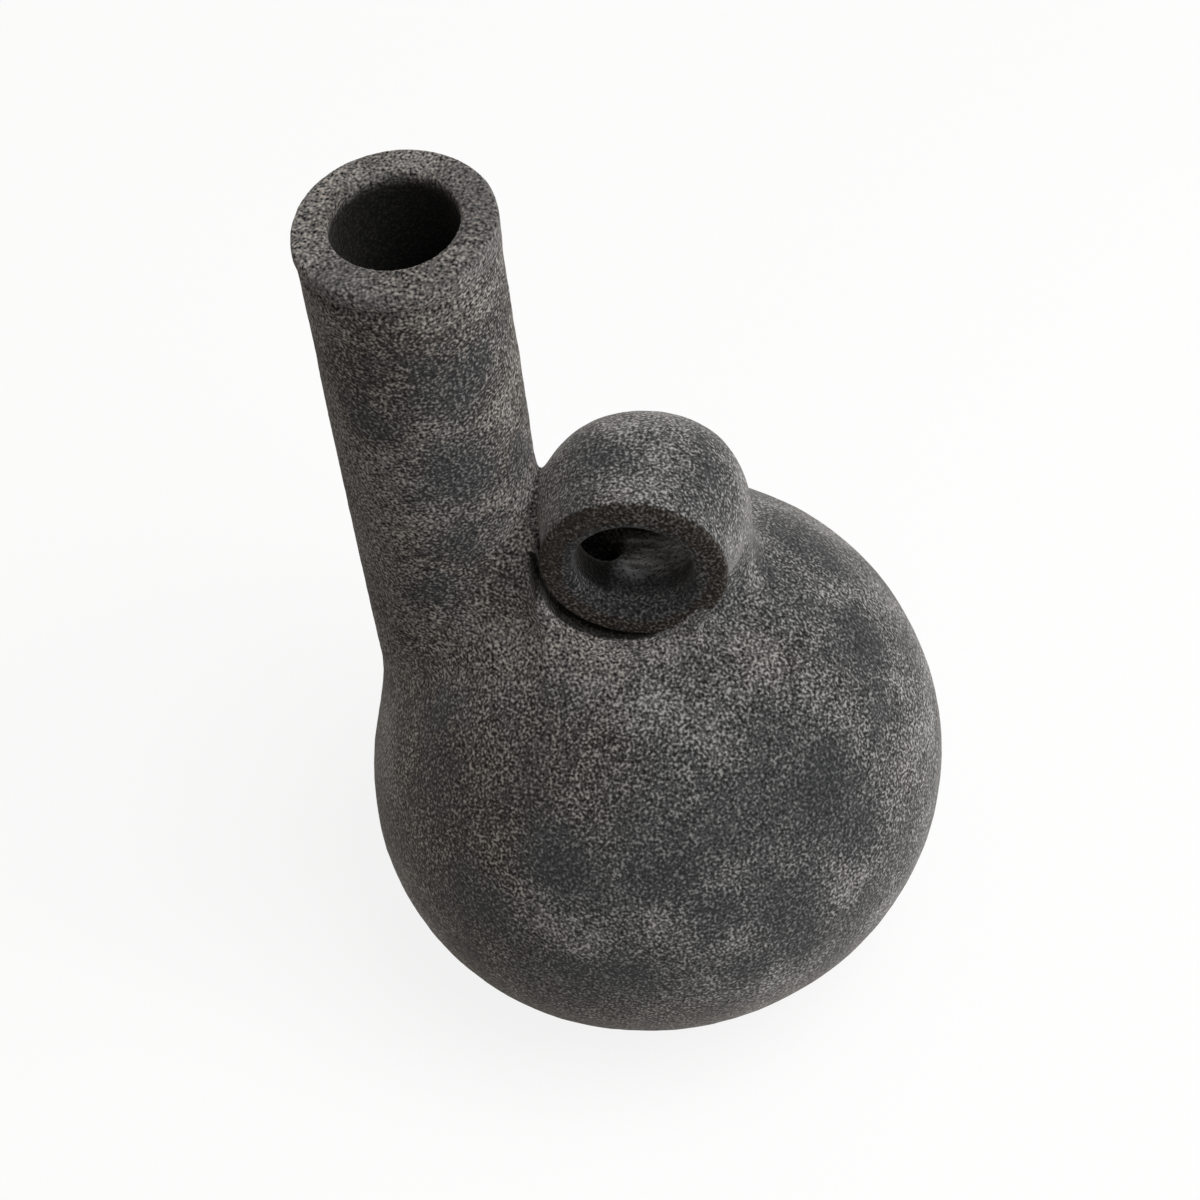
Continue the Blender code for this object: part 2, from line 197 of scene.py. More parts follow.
def buildFormsTree():
    # every wall of the vase as a distance field: below zero inside the clay or the hollow it names
    tree, inlet, outlet = newTree("clayForms")
    for name, value in clayForms.items():
        addInput(tree, name, default=value)
    outNames = ("Body", "Neck", "Neck Bore", "Neck Side", "Spout", "Spout Bore", "Mouth", "Spout Side",
                "Height")
    for name in outNames:
        addOutput(tree, name)
    size = {name: Field(tree, inlet.outputs[name]) for name in clayForms}

    place = tree.nodes.new("GeometryNodeInputPosition").outputs[0]
    plain = axes(tree, place)
    sway = axes(tree, noiseNode(tree, place, **wallSway).outputs["Color"])
    x, y, z = [line + (shift - 0.5) * size["Wobble"] * 2.0 for line, shift in zip(plain, sway)]
    height = plain[2]

    # body: two half ellipsoids, the lower one leaning to the left and the upper one to the right
    rise = z - size["Body Centre"]
    radius = size["Body Radius"]
    tall = size["Belly Depth"] + (size["Crown Rise"] - size["Belly Depth"]) * rise.above(0.0)
    bodyX = (x - size["Belly Lean"] * rise.least(0.0) / size["Belly Depth"]
             - size["Crown Lean"] * rise.most(0.0).least(size["Crown Rise"]) / size["Crown Rise"])
    u, v, w = bodyX / radius, y / radius, rise / tall
    near = (u * u + v * v + w * w).maths("SQRT")
    far = ((u / radius).span(v / radius)).span(w / tall)
    body = near * (near - 1.0) / far

    # neck: an upright tube with a rounded rim
    across = x - size["Neck X"]
    along = y - size["Row Y"]
    fromNeck = across.span(along)
    front, backRight, frontLeft = [
        ((across * aim[0] + along * aim[1]) / size["Neck Radius"]).ease(start, end)
        for aim, start, end in (rimMarks["front"], rimMarks["backRight"], rimMarks["frontLeft"])]
    belowRim = size["Neck Top"] - z
    rolled = (front * belowRim.ease(*rimMarks["frontRoll"])).most(
        backRight * belowRim.ease(*rimMarks["backRoll"]) * rimMarks["backShare"])
    groove = frontLeft * belowRim.ease(*rimMarks["creaseTop"]) * belowRim.ease(*rimMarks["creaseFoot"])
    swell = size["Rim Swell"] * rolled - size["Rim Crease"] * groove
    neck = (fromNeck - size["Neck Radius"] - swell).trim(-belowRim, size["Rim Round"])
    neckBore = fromNeck - size["Neck Bore"]
    neckSide = across / size["Neck Radius"]

    # spout: a tube whose outer line climbs the back, rounds the heel and runs to the mouth
    tilt = size["Mouth Tilt"]
    cosTilt, sinTilt = tilt.maths("COSINE"), tilt.maths("SINE")
    ahead = y - size["Mouth Y"]
    upward = z - size["Mouth Z"]
    overTop = ahead * sinTilt + upward * cosTilt - size["Mouth Radius"]
    faceTilt = size["Face Tilt"]
    mouth = upward * faceTilt.maths("SINE") - (y - size["Face Y"]) * faceTilt.maths("COSINE")
    hubAhead = size["Spout Back"] - size["Heel Round"] - size["Mouth Y"]
    hubUp = (size["Mouth Radius"] - size["Heel Round"] - hubAhead * sinTilt) / cosTilt
    fromHub = (ahead - hubAhead).span(upward - hubUp) - size["Heel Round"]
    behindHub = (ahead - hubAhead) * cosTilt - (upward - hubUp) * sinTilt
    onHeel = (upward - hubUp).above(0.0) * behindHub.above(0.0)
    straight = (y - size["Spout Back"]).most(overTop)
    profile = straight + (fromHub - straight) * onHeel
    fullness = ahead.ease(*spoutBend["fullness"])
    tube = size["Mouth Radius"] + (size["Heel Radius"] - size["Mouth Radius"]) * fullness
    side = x - size["Riser X"]
    power = size["Heel Square"] * fullness + spoutBend["roundPower"]
    outward = (profile + tube).maths("ABSOLUTE").maths("POWER", power)
    sideways = (side + size["Heel Drift"] * fullness).maths("ABSOLUTE").maths("POWER", power)
    spout = (outward + sideways).maths("POWER", power.maths("POWER", -1.0)) - tube

    # its hollow: a thumb hole run in from the mouth, and a narrower bore down into the body
    hole = size["Mouth Radius"] - size["Spout Wall"]
    inward = overTop + size["Mouth Radius"]
    thumb = inward.span(side).trim(y - size["Thumb End"] + hole, spoutBend["thumbRound"]) - hole
    drop = (side + size["Riser Bore Side"]).span(y - size["Riser Bore Y"]) - size["Riser Bore"]
    spoutBore = thumb.merge(drop.most(upward), spoutBend["boreBlend"])
    spoutSide = side / size["Mouth Radius"]

    fields = (body, neck, neckBore, neckSide, spout, spoutBore, mouth, spoutSide, height)
    for name, field in zip(outNames, fields):
        tree.links.new(field.socket, outlet.inputs[name])
    return tree


formsTree = buildFormsTree()
print("clay forms written as fields")


# Hand and sand marks pressed into every surface, the same for the whole vase, so that they run on over joints
clayRelief = {"lumps": {"scale": 95.0, "detail": 2.0, "seed": 7.3}, "lumpDepth": 0.00028,
              "sand": {"scale": 380.0, "detail": 1.0, "seed": 11.3}, "sandDepth": 0.00009}


def buildReliefTree():
    tree, inlet, outlet = newTree("clayRelief")
    addInput(tree, "Geometry", "NodeSocketGeometry")
    addInput(tree, "Lump Depth", default=clayRelief["lumpDepth"])
    addInput(tree, "Sand Depth", default=clayRelief["sandDepth"])
    addOutput(tree, "Geometry", "NodeSocketGeometry")
    place = tree.nodes.new("GeometryNodeInputPosition").outputs[0]
    normal = tree.nodes.new("GeometryNodeInputNormal").outputs[0]
    lumps = noiseField(tree, place, **clayRelief["lumps"])
    sand = noiseField(tree, place, **clayRelief["sand"])
    rise = ((lumps - 0.5) * Field(tree, inlet.outputs["Lump Depth"]) * 2.0
            + (sand - 0.5) * Field(tree, inlet.outputs["Sand Depth"]) * 2.0)
    push = vectorMaths(tree, "SCALE", normal, rise)
    shift = tree.nodes.new("GeometryNodeSetPosition")
    tree.links.new(inlet.outputs["Geometry"], shift.inputs["Geometry"])
    tree.links.new(push, shift.inputs["Offset"])
    smooth = tree.nodes.new("GeometryNodeSetShadeSmooth")
    tree.links.new(shift.outputs[0], smooth.inputs["Geometry"])
    tree.links.new(smooth.outputs[0], outlet.inputs["Geometry"])
    return tree


reliefTree = buildReliefTree()
crumbSize = 300.0           # loose bits of clay with fewer points than this are swept away


def buildPiece(name, spec, shape, material):
    # shape() turns the shared fields into this piece's own field, which is then skinned at the clay step
    tree, inlet, outlet = newTree(name + "Clay")
    sockets = {}
    sockets["low"] = addInput(tree, "Low Corner", "NodeSocketVector")
    sockets["high"] = addInput(tree, "High Corner", "NodeSocketVector")
    sockets["step"] = addInput(tree, "Clay Step", default=spec["step"])
    sockets["finish"] = addInput(tree, "Finish", "NodeSocketMaterial")
    addOutput(tree, "Geometry", "NodeSocketGeometry")

    forms = tree.nodes.new("GeometryNodeGroup")
    forms.node_tree = formsTree
    parts = {slot.name: Field(tree, slot) for slot in forms.outputs}
    solid = shape(parts, spec)

    cube = tree.nodes.new("GeometryNodeVolumeCube")
    tree.links.new((-solid).socket, cube.inputs["Density"])
    cube.inputs["Background"].default_value = -1.0
    tree.links.new(inlet.outputs["Low Corner"], cube.inputs["Min"])
    tree.links.new(inlet.outputs["High Corner"], cube.inputs["Max"])
    extent = vectorMaths(tree, "SUBTRACT", inlet.outputs["High Corner"], inlet.outputs["Low Corner"])
    for side, axis in zip(axes(tree, extent), "XYZ"):
        count = (side / Field(tree, inlet.outputs["Clay Step"])).maths("ROUND")
        tree.links.new(count.socket, cube.inputs["Resolution " + axis])
    skin = tree.nodes.new("GeometryNodeVolumeToMesh")
    skin.inputs["Threshold"].default_value = 0.0
    tree.links.new(cube.outputs[0], skin.inputs["Volume"])
    island = tree.nodes.new("GeometryNodeInputMeshIsland")
    points = tree.nodes.new("GeometryNodeAccumulateField")
    tree.links.new(island.outputs["Island Index"], points.inputs["Group ID"])
    crumb = Field(tree, points.outputs["Total"]).maths("LESS_THAN", crumbSize)
    whole = tree.nodes.new("GeometryNodeDeleteGeometry")
    tree.links.new(skin.outputs[0], whole.inputs["Geometry"])
    tree.links.new(crumb.socket, whole.inputs["Selection"])
    relief = tree.nodes.new("GeometryNodeGroup")
    relief.node_tree = reliefTree
    tree.links.new(whole.outputs[0], relief.inputs["Geometry"])
    real = tree.nodes.new("GeometryNodeRealizeInstances")
    tree.links.new(relief.outputs[0], real.inputs["Geometry"])
    coat = tree.nodes.new("GeometryNodeSetMaterial")
    tree.links.new(real.outputs[0], coat.inputs["Geometry"])
    tree.links.new(inlet.outputs["Finish"], coat.inputs["Material"])
    tree.links.new(coat.outputs[0], outlet.inputs["Geometry"])

    blank = bpy.data.objects.new(name, bpy.data.meshes.new(name + "Blank"))
    bpy.context.collection.objects.link(blank)
    modifier = blank.modifiers.new("clay", "NODES")
    modifier.node_group = tree
    for key in ("low", "high", "step"):
        modifier[sockets[key].identifier] = spec[key]
    modifier[sockets["finish"].identifier] = material
    bpy.context.view_layer.update()
    graph = bpy.context.evaluated_depsgraph_get()
    mesh = bpy.data.meshes.new_from_object(blank.evaluated_get(graph), depsgraph=graph)
    blank.modifiers.clear()
    blank.data = mesh
    mesh.name = name
    print(name, sum(len(face.vertices) - 2 for face in mesh.polygons), "triangles")
    return blank


# Joints: the piece underneath lies this far below its neighbour's skin and runs on for a short lap
lapShy = 0.00012
collarShare = 0.70          # share of a fillet's reach that its owner keeps

neckFillet = {"outer": 0.007, "inner": 0.042}     # reach on the flush left side, and beside the spout
spoutFillet = 0.002
webFillet = 0.007
# clay packed between neck and spout, more of it in front
crotchFill = {"reach": 0.034, "least": 0.003, "height": 0.030, "forward": 0.012, "front": (-0.030, -0.012)}

bowl = {"low": (-0.0885, -0.0885, -0.0035), "high": (0.0885, 0.0885, 0.0725), "step": 0.00125,
        "lap": 0.004, "padRadius": 0.0343, "flangeRadius": 0.0383, "ledge": 0.005, "floor": 0.010,
        "footRound": 0.007}


def bowlShape(parts, spec):
    height = parts["Height"]
    centre = clayForms["Body Centre"]
    outer = parts["Body"].trim(-height, spec["footRound"])
    hollow = (parts["Body"] + clayForms["Body Wall"]).most(-(height - spec["floor"]))
    place = height.tree.nodes.new("GeometryNodeInputPosition").outputs[0]
    x, y = axes(height.tree, place)[:2]
    reach = x.span(y)
    pad = (reach - spec["padRadius"]).most(height - spec["floor"])
    rebate = (reach - spec["flangeRadius"]).most((height - spec["floor"]).most(-(height - spec["ledge"])))
    hollow = hollow.least(pad).least(rebate)
    shy = height.above(centre) * lapShy
    return outer.most(-hollow).most(height - (centre + spec["lap"])) + shy


dome = {"low": (-0.0885, -0.0885, 0.0605), "high": (0.0885, 0.0885, 0.1885), "step": 0.00125,
        "lipJoint": -0.0065, "moatBack": -0.0140, "moatWidth": 0.0034, "moatDepth": 0.0050, "smear": 0.020,
        "cover": 0.0045, "lobe": 0.0050, "notch": 0.0030, "seam": 0.0004, "neckSide": (-0.6, 0.7),
        "rightSide": (0.05, 0.65), "rightDepth": (-0.015, -0.005), "rightLoss": 0.85, "leftSide": (0.2, 0.9),
        "gapSide": (-0.35, 0.6), "gapLow": (0.164, 0.149), "gapLowShare": 0.55, "notchHeight": (0.165, 0.174)}


def domeShape(parts, spec):
    body = parts["Body"]
    mouth = parts["Mouth"]
    growth = neckFillet["inner"] - neckFillet["outer"]
    rightSide = parts["Spout Side"].ease(*spec["rightSide"])
    crisp = rightSide * -spec["rightLoss"] + 1.0
    reach = parts["Neck Side"].ease(*spec["neckSide"]) * growth * crisp + neckFillet["outer"]
    tube = parts["Spout"].most(mouth - spec["lipJoint"])
    forward = mouth.ease(*crotchFill["front"]) * crotchFill["forward"]
    packed = forward + (crotchFill["reach"] - crotchFill["least"])
    packed = packed * (body - forward).ease(crotchFill["height"], 0.0)
    left = (-parts["Spout Side"]).ease(*spec["leftSide"])
    beside = parts["Spout"].most(mouth - left * spec["lobe"] - spec["lipJoint"])
    crotch = parts["Neck"].merge(beside, packed + crotchFill["least"])
    neckCollar = body.merge(crotch, reach).most(body - reach * collarShare)
    spoutCollar = body.merge(tube, spoutFillet).most(body - spoutFillet * collarShare)
    outer = neckCollar.least(spoutCollar)
    # the mouth ring stands off the clay in a dark gap on its left, and clay was smeared up over its right
    right = rightSide * mouth.ease(*spec["rightDepth"])
    smear = right * spec["smear"] + spec["seam"]
    ring = parts["Spout"].trim(mouth, mouthLip["rimRound"])
    smeared = body.merge(ring, smear).most(body - smear * collarShare)
    outer = outer.least(smeared)
    low = parts["Height"].ease(*spec["gapLow"]) * spec["gapLowShare"] + (1.0 - spec["gapLowShare"])
    gap = (-parts["Spout Side"]).ease(*spec["gapSide"]) * low * spec["moatWidth"] - right * spec["cover"]
    gap = gap + left * parts["Height"].ease(*spec["notchHeight"]) * spec["notch"]
    moat = (parts["Spout"] - gap).most(-(mouth - spec["moatBack"])).most(-(body + spec["moatDepth"]))
    outer = outer.most(-moat)
    bores = parts["Neck Bore"].least(parts["Spout Bore"]) - lapShy
    hollow = (body + clayForms["Body Wall"]).least(bores)
    return outer.most(-hollow).most(-(parts["Height"] - clayForms["Body Centre"]))


neck = {"low": (-0.084, -0.017, 0.062), "high": (-0.024, 0.043, 0.2785), "step": 0.0011, "root": 0.006,
        "lipJoint": 0.2675, "lap": 0.004}


def neckShape(parts, spec):
    tube = parts["Neck"].most(-parts["Neck Bore"]).most(-(parts["Body"] + spec["root"]))
    height = parts["Height"]
    return tube.most(height - (spec["lipJoint"] + spec["lap"])) + height.above(spec["lipJoint"]) * lapShy


neckLip = {"low": (-0.084, -0.017, 0.264), "high": (-0.024, 0.043, 0.2795), "step": 0.0008,
           "innerRound": 0.0019, "joint": 0.2675}


def neckLipShape(parts, spec):
    ring = parts["Neck"].trim(-parts["Neck Bore"], spec["innerRound"])
    return ring.most(-(parts["Height"] - spec["joint"]))


spout = {"low": (-0.0300, -0.0215, 0.118), "high": (0.0365, 0.0445, 0.2005), "step": 0.0009, "root": 0.006,
         "lipJoint": -0.0065, "lap": 0.003, "webFront": -0.0120, "webRound": 0.003}


def spoutShape(parts, spec):
    mouth = parts["Mouth"]
    web = parts["Spout"].merge(parts["Neck"], webFillet).most(parts["Spout"] - webFillet * collarShare)
    web = parts["Spout"].least(web.trim(mouth - spec["webFront"], spec["webRound"]))
    tube = web.most(-parts["Spout Bore"]).most(-(parts["Body"] + spec["root"])).most(-parts["Neck Bore"])
    return tube.most(mouth - (spec["lipJoint"] + spec["lap"])) + mouth.above(spec["lipJoint"]) * lapShy


mouthLip = {"low": (-0.0270, -0.0215, 0.140), "high": (0.0335, 0.0005, 0.2005), "step": 0.0008, "root": 0.006,
            "rimRound": 0.0026, "innerRound": 0.0042, "joint": -0.0065}


def mouthLipShape(parts, spec):
    ring = parts["Spout"].trim(parts["Mouth"], spec["rimRound"])
    ring = ring.trim(-parts["Spout Bore"], spec["innerRound"])
    return ring.most(-(parts["Mouth"] - spec["joint"])).most(-(parts["Body"] + spec["root"]))


# Clay: bluish dark body clay under a worn, sandy, browner skin, with painted shade and painted light in its
# hollows and on its shaded sides
def shaderGroup(name, inputs, outputs):
    tree, inlet, outlet = newTree(name, "ShaderNodeTree")
    for label, value in inputs.items():
        addInput(tree, label, "NodeSocketVector" if value is None else "NodeSocketFloat", value)
    for label in outputs:
        addOutput(tree, label)
    return tree, inlet, outlet


def useGroup(tree, group, vector):
    node = tree.nodes.new("ShaderNodeGroup")
    node.node_tree = group
    tree.links.new(vector, node.inputs["Vector"])
    return node


def mixColours(tree, share, first, second):
    node = tree.nodes.new("ShaderNodeMix")
    node.data_type = "RGBA"
    plug(tree, share, node.inputs["Factor"])
    plug(tree, first, node.inputs[6])           # A and B of the colour mode
    plug(tree, second, node.inputs[7])
    return node.outputs[2]


sandGrain = {"scale": 1220.0, "detail": 0.6, "seed": 2.7, "tipCover": 0.05, "tips": (0.50, 0.79),
             "pitCover": 0.02, "pits": (-0.51, -0.29)}


def buildSandGroup():
    # sand grains under a millimetre across: light tips, dark pits and a height for the bump
    tree, inlet, outlet = shaderGroup(
        "sandGrain", {"Vector": None, "Grain Scale": sandGrain["scale"], "Cover": 0.5},
        ("Tips", "Pits", "Height"))
    scale = Field(tree, inlet.outputs["Grain Scale"])
    cover = Field(tree, inlet.outputs["Cover"])
    shade = noiseField(tree, inlet.outputs["Vector"], scale, sandGrain["detail"], sandGrain["seed"])
    tips = (shade + cover * sandGrain["tipCover"]).ease(*sandGrain["tips"])
    pits = (-shade - cover * sandGrain["pitCover"]).ease(*sandGrain["pits"])
    tree.links.new(tips.socket, outlet.inputs["Tips"])
    tree.links.new(pits.socket, outlet.inputs["Pits"])
    tree.links.new(shade.socket, outlet.inputs["Height"])
    return tree


# Marks seen on the vase, a place and a radius each: dark ones rubbed smooth, and pale sandy ones, some of
# which are painted light that lifts clay lying in shadow around the mouth ring and beside the neck
smoothPatches = (
    ((0.053, -0.046, 0.112), 0.013), ((0.011, -0.071, 0.109), 0.014), ((0.046, -0.068, 0.088), 0.014),
    ((0.023, -0.076, 0.094), 0.010), ((-0.017, -0.069, 0.108), 0.012), ((-0.043, -0.068, 0.088), 0.012),
    ((0.064, -0.047, 0.095), 0.009), ((0.048, -0.070, 0.070), 0.009), ((0.046, 0.034, 0.127), 0.013),
    ((0.062, 0.001, 0.122), 0.009), ((-0.016, -0.034, 0.137), 0.006), ((-0.004, 0.005, 0.196), 0.009),
    ((-0.039, -0.009, 0.241), 0.013), ((-0.042, -0.011, 0.205), 0.013), ((-0.064, -0.012, 0.227), 0.008),
    ((-0.054, -0.014, 0.156), 0.009), ((0.025, 0.074, 0.090), 0.018), ((-0.050, 0.060, 0.070), 0.016),
    ((-0.060, -0.011, 0.276), 0.003), ((-0.002, -0.084, 0.074), 0.009), ((0.033, -0.078, 0.069), 0.008),
    ((-0.044, -0.011, 0.177), 0.009), ((-0.054, -0.028, 0.120), 0.008), ((-0.017, -0.083, 0.073), 0.007),
    ((0.019, 0.016, 0.191), 0.004), ((0.004, 0.015, 0.197), 0.005), ((-0.029, 0.004, 0.195), 0.007),
    ((0.031, 0.008, 0.146), 0.007),
)
sandyAndLitPatches = (
    ((0.062, -0.055, 0.084), 0.010), ((0.012, -0.079, 0.093), 0.008), ((0.076, -0.022, 0.097), 0.010),
    ((-0.008, -0.026, 0.142), 0.018), ((-0.025, -0.004, 0.171), 0.007), ((0.036, -0.019, 0.137), 0.013),
    ((-0.030, -0.009, 0.143), 0.010), ((-0.020, -0.020, 0.141), 0.009), ((0.012, -0.018, 0.144), 0.013),
    ((0.031, 0.000, 0.142), 0.007), ((0.003, -0.009, 0.196), 0.012), ((-0.070, -0.008, 0.258), 0.010),
    ((0.050, 0.050, 0.110), 0.015), ((-0.030, 0.078, 0.060), 0.014), ((-0.052, 0.036, 0.277), 0.009),
)
patchEdge = {"outer": 1.7, "inner": 0.3, "raggedScale": 70.0, "raggedDetail": 4.0, "raggedReach": 0.011}
clayMottle = {
    "scale": 30.0, "detail": 3.0, "patchSeed": 11.4, "patchRoughness": 0.62,
    "tintScale": 0.8, "tintSeed": 17.8, "tintRoughness": 0.6,
    # the dusty shares follow the pale sandy patches, some of which are painted light
    "smooth": (-0.52, -0.34), "smoothShare": 0.45, "smoothRubbed": 0.85, "smoothDustyLit": -0.7,
    "sandy": (0.34, 0.64), "sandyShare": 0.7, "sandyLeast": 0.2, "sandyRubbed": -0.6, "sandyDustyLit": 0.9,
    # the brown side share and the spans below are painted shade, browner and darker towards the left and the
    # bottom
    "brown": (0.0, 0.75), "brownTint": 1.3, "brownShadeSide": 0.70, "brownDustyLit": 0.20, "brownRubbed": 0.30,
    "shadeLeftward": (-0.03, 0.07), "shadeDownward": (-0.075, -0.025),
}


def patchMask(tree, vector, patches):
    mask = None
    for centre, radius in patches:
        away = Field(tree, vectorMaths(tree, "DISTANCE", vector, centre))
        spot = (-away).ease(-radius * patchEdge["outer"], -radius * patchEdge["inner"])
        mask = spot if mask is None else mask.most(spot)
    return mask


def buildMottleGroup():
    # how sandy the skin is, how brown, and where it was rubbed smooth and dark; the brown share also holds
    # painted shade towards the left and the bottom, and the sandy share holds painted light from some of the
    # pale patches
    mix = clayMottle
    tree, inlet, outlet = shaderGroup(
        "clayMottle", {"Vector": None, "Patch Scale": mix["scale"], "Sandiness": 0.5},
        ("Sandy", "Brown", "Smooth"))
    vector = inlet.outputs["Vector"]
    scale = Field(tree, inlet.outputs["Patch Scale"])
    amount = Field(tree, inlet.outputs["Sandiness"])
    patch = noiseField(tree, vector, scale, mix["detail"], mix["patchSeed"], mix["patchRoughness"])
    tintScale = scale * mix["tintScale"]
    tint = noiseField(tree, vector, tintScale, mix["detail"], mix["tintSeed"], mix["tintRoughness"])
    warp = noiseNode(tree, vector, patchEdge["raggedScale"], patchEdge["raggedDetail"])
    reach = patchEdge["raggedReach"]
    ragged = vectorMaths(tree, "MULTIPLY_ADD", warp.outputs["Color"], (reach * 2,) * 3, vector)
    ragged = vectorMaths(tree, "SUBTRACT", ragged, (reach,) * 3)
    rubbed = patchMask(tree, ragged, smoothPatches)
    # pale sandy patches, some of them painted light over shaded clay
    dustyAndLit = patchMask(tree, ragged, sandyAndLitPatches)
    x, z = axes(tree, vector)[::2]
    # painted shade: browner and darker towards the left and the bottom, where shade falls
    shadeLeftward = (-x).ease(*mix["shadeLeftward"])
    shadeDownward = (-z).ease(*mix["shadeDownward"])
    smooth = ((-patch).ease(*mix["smooth"]) * mix["smoothShare"]).most(rubbed * mix["smoothRubbed"])
    smooth = smooth * (dustyAndLit * mix["smoothDustyLit"] + 1.0)
    sandy = (patch + amount - 0.5).ease(*mix["sandy"]) * mix["sandyShare"] + mix["sandyLeast"]
    sandy = (sandy * (rubbed * mix["sandyRubbed"] + 1.0)).most(dustyAndLit * mix["sandyDustyLit"])
    brown = (tint - 0.5) * mix["brownTint"] + shadeLeftward.most(shadeDownward) * mix["brownShadeSide"]
    brown = (brown + dustyAndLit * mix["brownDustyLit"] - rubbed * mix["brownRubbed"]).ease(*mix["brown"])
    tree.links.new(sandy.socket, outlet.inputs["Sandy"])
    tree.links.new(brown.socket, outlet.inputs["Brown"])
    tree.links.new(smooth.socket, outlet.inputs["Smooth"])
    return tree


boreEdge = 0.0015           # the mask fades out over this much at its radius


def buildBoreGroup():
    # one inside a bore, growing with the depth from its mouth
    tree, inlet, outlet = shaderGroup(
        "boreMask",
        {"Vector": None, "Mouth": None, "Inward": None, "Radius": 0.018, "Start": 0.0, "End": 0.02,
         "Reach": 0.3},
        ("Mask", "Depth", "Off Axis"))
    inward = inlet.outputs["Inward"]
    fromMouth = vectorMaths(tree, "SUBTRACT", inlet.outputs["Vector"], inlet.outputs["Mouth"])
    depth = Field(tree, vectorMaths(tree, "DOT_PRODUCT", fromMouth, inward))
    sideways = vectorMaths(tree, "SUBTRACT", fromMouth, vectorMaths(tree, "SCALE", inward, depth))
    offAxis = Field(tree, vectorMaths(tree, "DOT_PRODUCT", sideways, sideways)).maths("SQRT")
    limit = {name: Field(tree, inlet.outputs[name]) for name in ("Radius", "Start", "End", "Reach")}
    within = (limit["Radius"] - offAxis).ease(0.0, boreEdge) * limit["Reach"].above(depth)
    mask = depth.ease(limit["Start"], limit["End"]) * within
    tree.links.new(mask.socket, outlet.inputs["Mask"])
    tree.links.new(depth.socket, outlet.inputs["Depth"])
    tree.links.new(offAxis.socket, outlet.inputs["Off Axis"])
    return tree


sandGroup = buildSandGroup()
mottleGroup = buildMottleGroup()
boreGroup = buildBoreGroup()

bareClay = (0.036, 0.0375, 0.0395, 1.0)
greyClay = (0.062, 0.0625, 0.0635, 1.0)
brownClay = (0.054, 0.0477, 0.0421, 1.0)
ringClayAndMouthShade = (0.023, 0.0240, 0.0255, 1.0)       # the mouth ring was handled smooth; the same colour is also painted shade inside the mouth
paleClay = (0.160, 0.1560, 0.1530, 1.0)       # the rim and the sandiest patches are worn paler; some of those patches are painted light
paleTip = (0.520, 0.512, 0.500, 1.0)
sandTip = (0.425, 0.388, 0.351, 1.0)
deepPit = (0.006, 0.0055, 0.005, 1.0)
ironClay = (0.024, 0.0190, 0.0150, 1.0)       # the edge of the mouth was rubbed with iron
paintedShadeClay = (0.005, 0.005, 0.005, 1.0)         # painted shade in the neck, the mouth and the gap around its ring
litStreakDim = (0.300, 0.303, 0.308, 1.0)         # painted light inside the spout, broken into the streaks that a thumb left there
litStreakBright = (0.900, 0.912, 0.930, 1.0)
dustTint = (1.0, 0.97, 0.93, 1.0)

# painted shade down the neck's bore, darker with depth
neckInside = {"Mouth": (clayForms["Neck X"], clayForms["Row Y"], clayForms["Neck Top"]), "Inward": (0, 0, -1),
              "Radius": 0.0205, "Start": -0.001, "End": 0.0055, "Reach": 0.3,
              "colour": paintedShadeClay, "amount": 0.97, "tips": 0.04}
# painted shade inside the spout's mouth, deepening inward; the same mask carries painted light further in
mouthInside = {"Mouth": (clayForms["Riser X"], clayForms["Face Y"], clayForms["Mouth Z"]),
               "Inward": (0, math.cos(clayForms["Face Tilt"]), -math.sin(clayForms["Face Tilt"])),
               "Radius": 0.0205, "Start": 0.003, "End": 0.008, "Reach": 0.040,
               "colour": ringClayAndMouthShade, "amount": 0.9, "tips": 0.2, "paintedLitStreaks": 0.022}
mouthFace = dict(mouthInside, ironFrom=0.0185)
# painted shadow in the gap on the left of the mouth ring
gapShift = {"left": 0.0016, "down": 0.0008, "fade": 0.005}
gapCentre = (clayForms["Riser X"] - gapShift["left"], clayForms["Face Y"],
             clayForms["Mouth Z"] - gapShift["down"])
ringGap = dict(mouthInside, Mouth=gapCentre, Radius=0.0295, Start=-0.0015, End=0.0, Reach=0.009,
               colour=paintedShadeClay, amount=0.92, tips=0.1, paintedLitStreaks=None, rightEnd=0.010)
# painted light on the spout's inner floor, a band a little way in, streaked as a thumb left it
litThumbStreaks = {"stretch": (0.3, 1.0, 1.0), "noise": {"scale": 520.0, "detail": 2.0, "seed": 5.6},
                "contrast": (0.35, 0.65), "near": (-0.011, 0.002), "far": (0.012, 0.005)}
# painted shadow over the left of the mouth's hollow
mouthShadow = {"side": (-0.005, -0.010), "depth": (0.1, 0.8), "share": 0.95, "tips": -0.8}
wornFace = {"depth": (-0.0028, -0.0010), "radius": (-0.0205, -0.0190), "share": 0.9, "tips": -0.65,
            "ironFade": 0.003}
claySkin = {"tipSandy": 0.33, "tipBrown": 0.15, "tipLeast": 0.31, "tipSmooth": 0.17,
            "pitBrown": 0.16, "pitLeast": 0.84, "pitSmooth": 0.38, "paleFrom": (0.6, 1.0), "paleShare": 0.45,
            "roughness": 0.85, "specular": 0.04, "sheenRoughness": 0.38, "bump": 0.55, "bumpDistance": 0.0007}


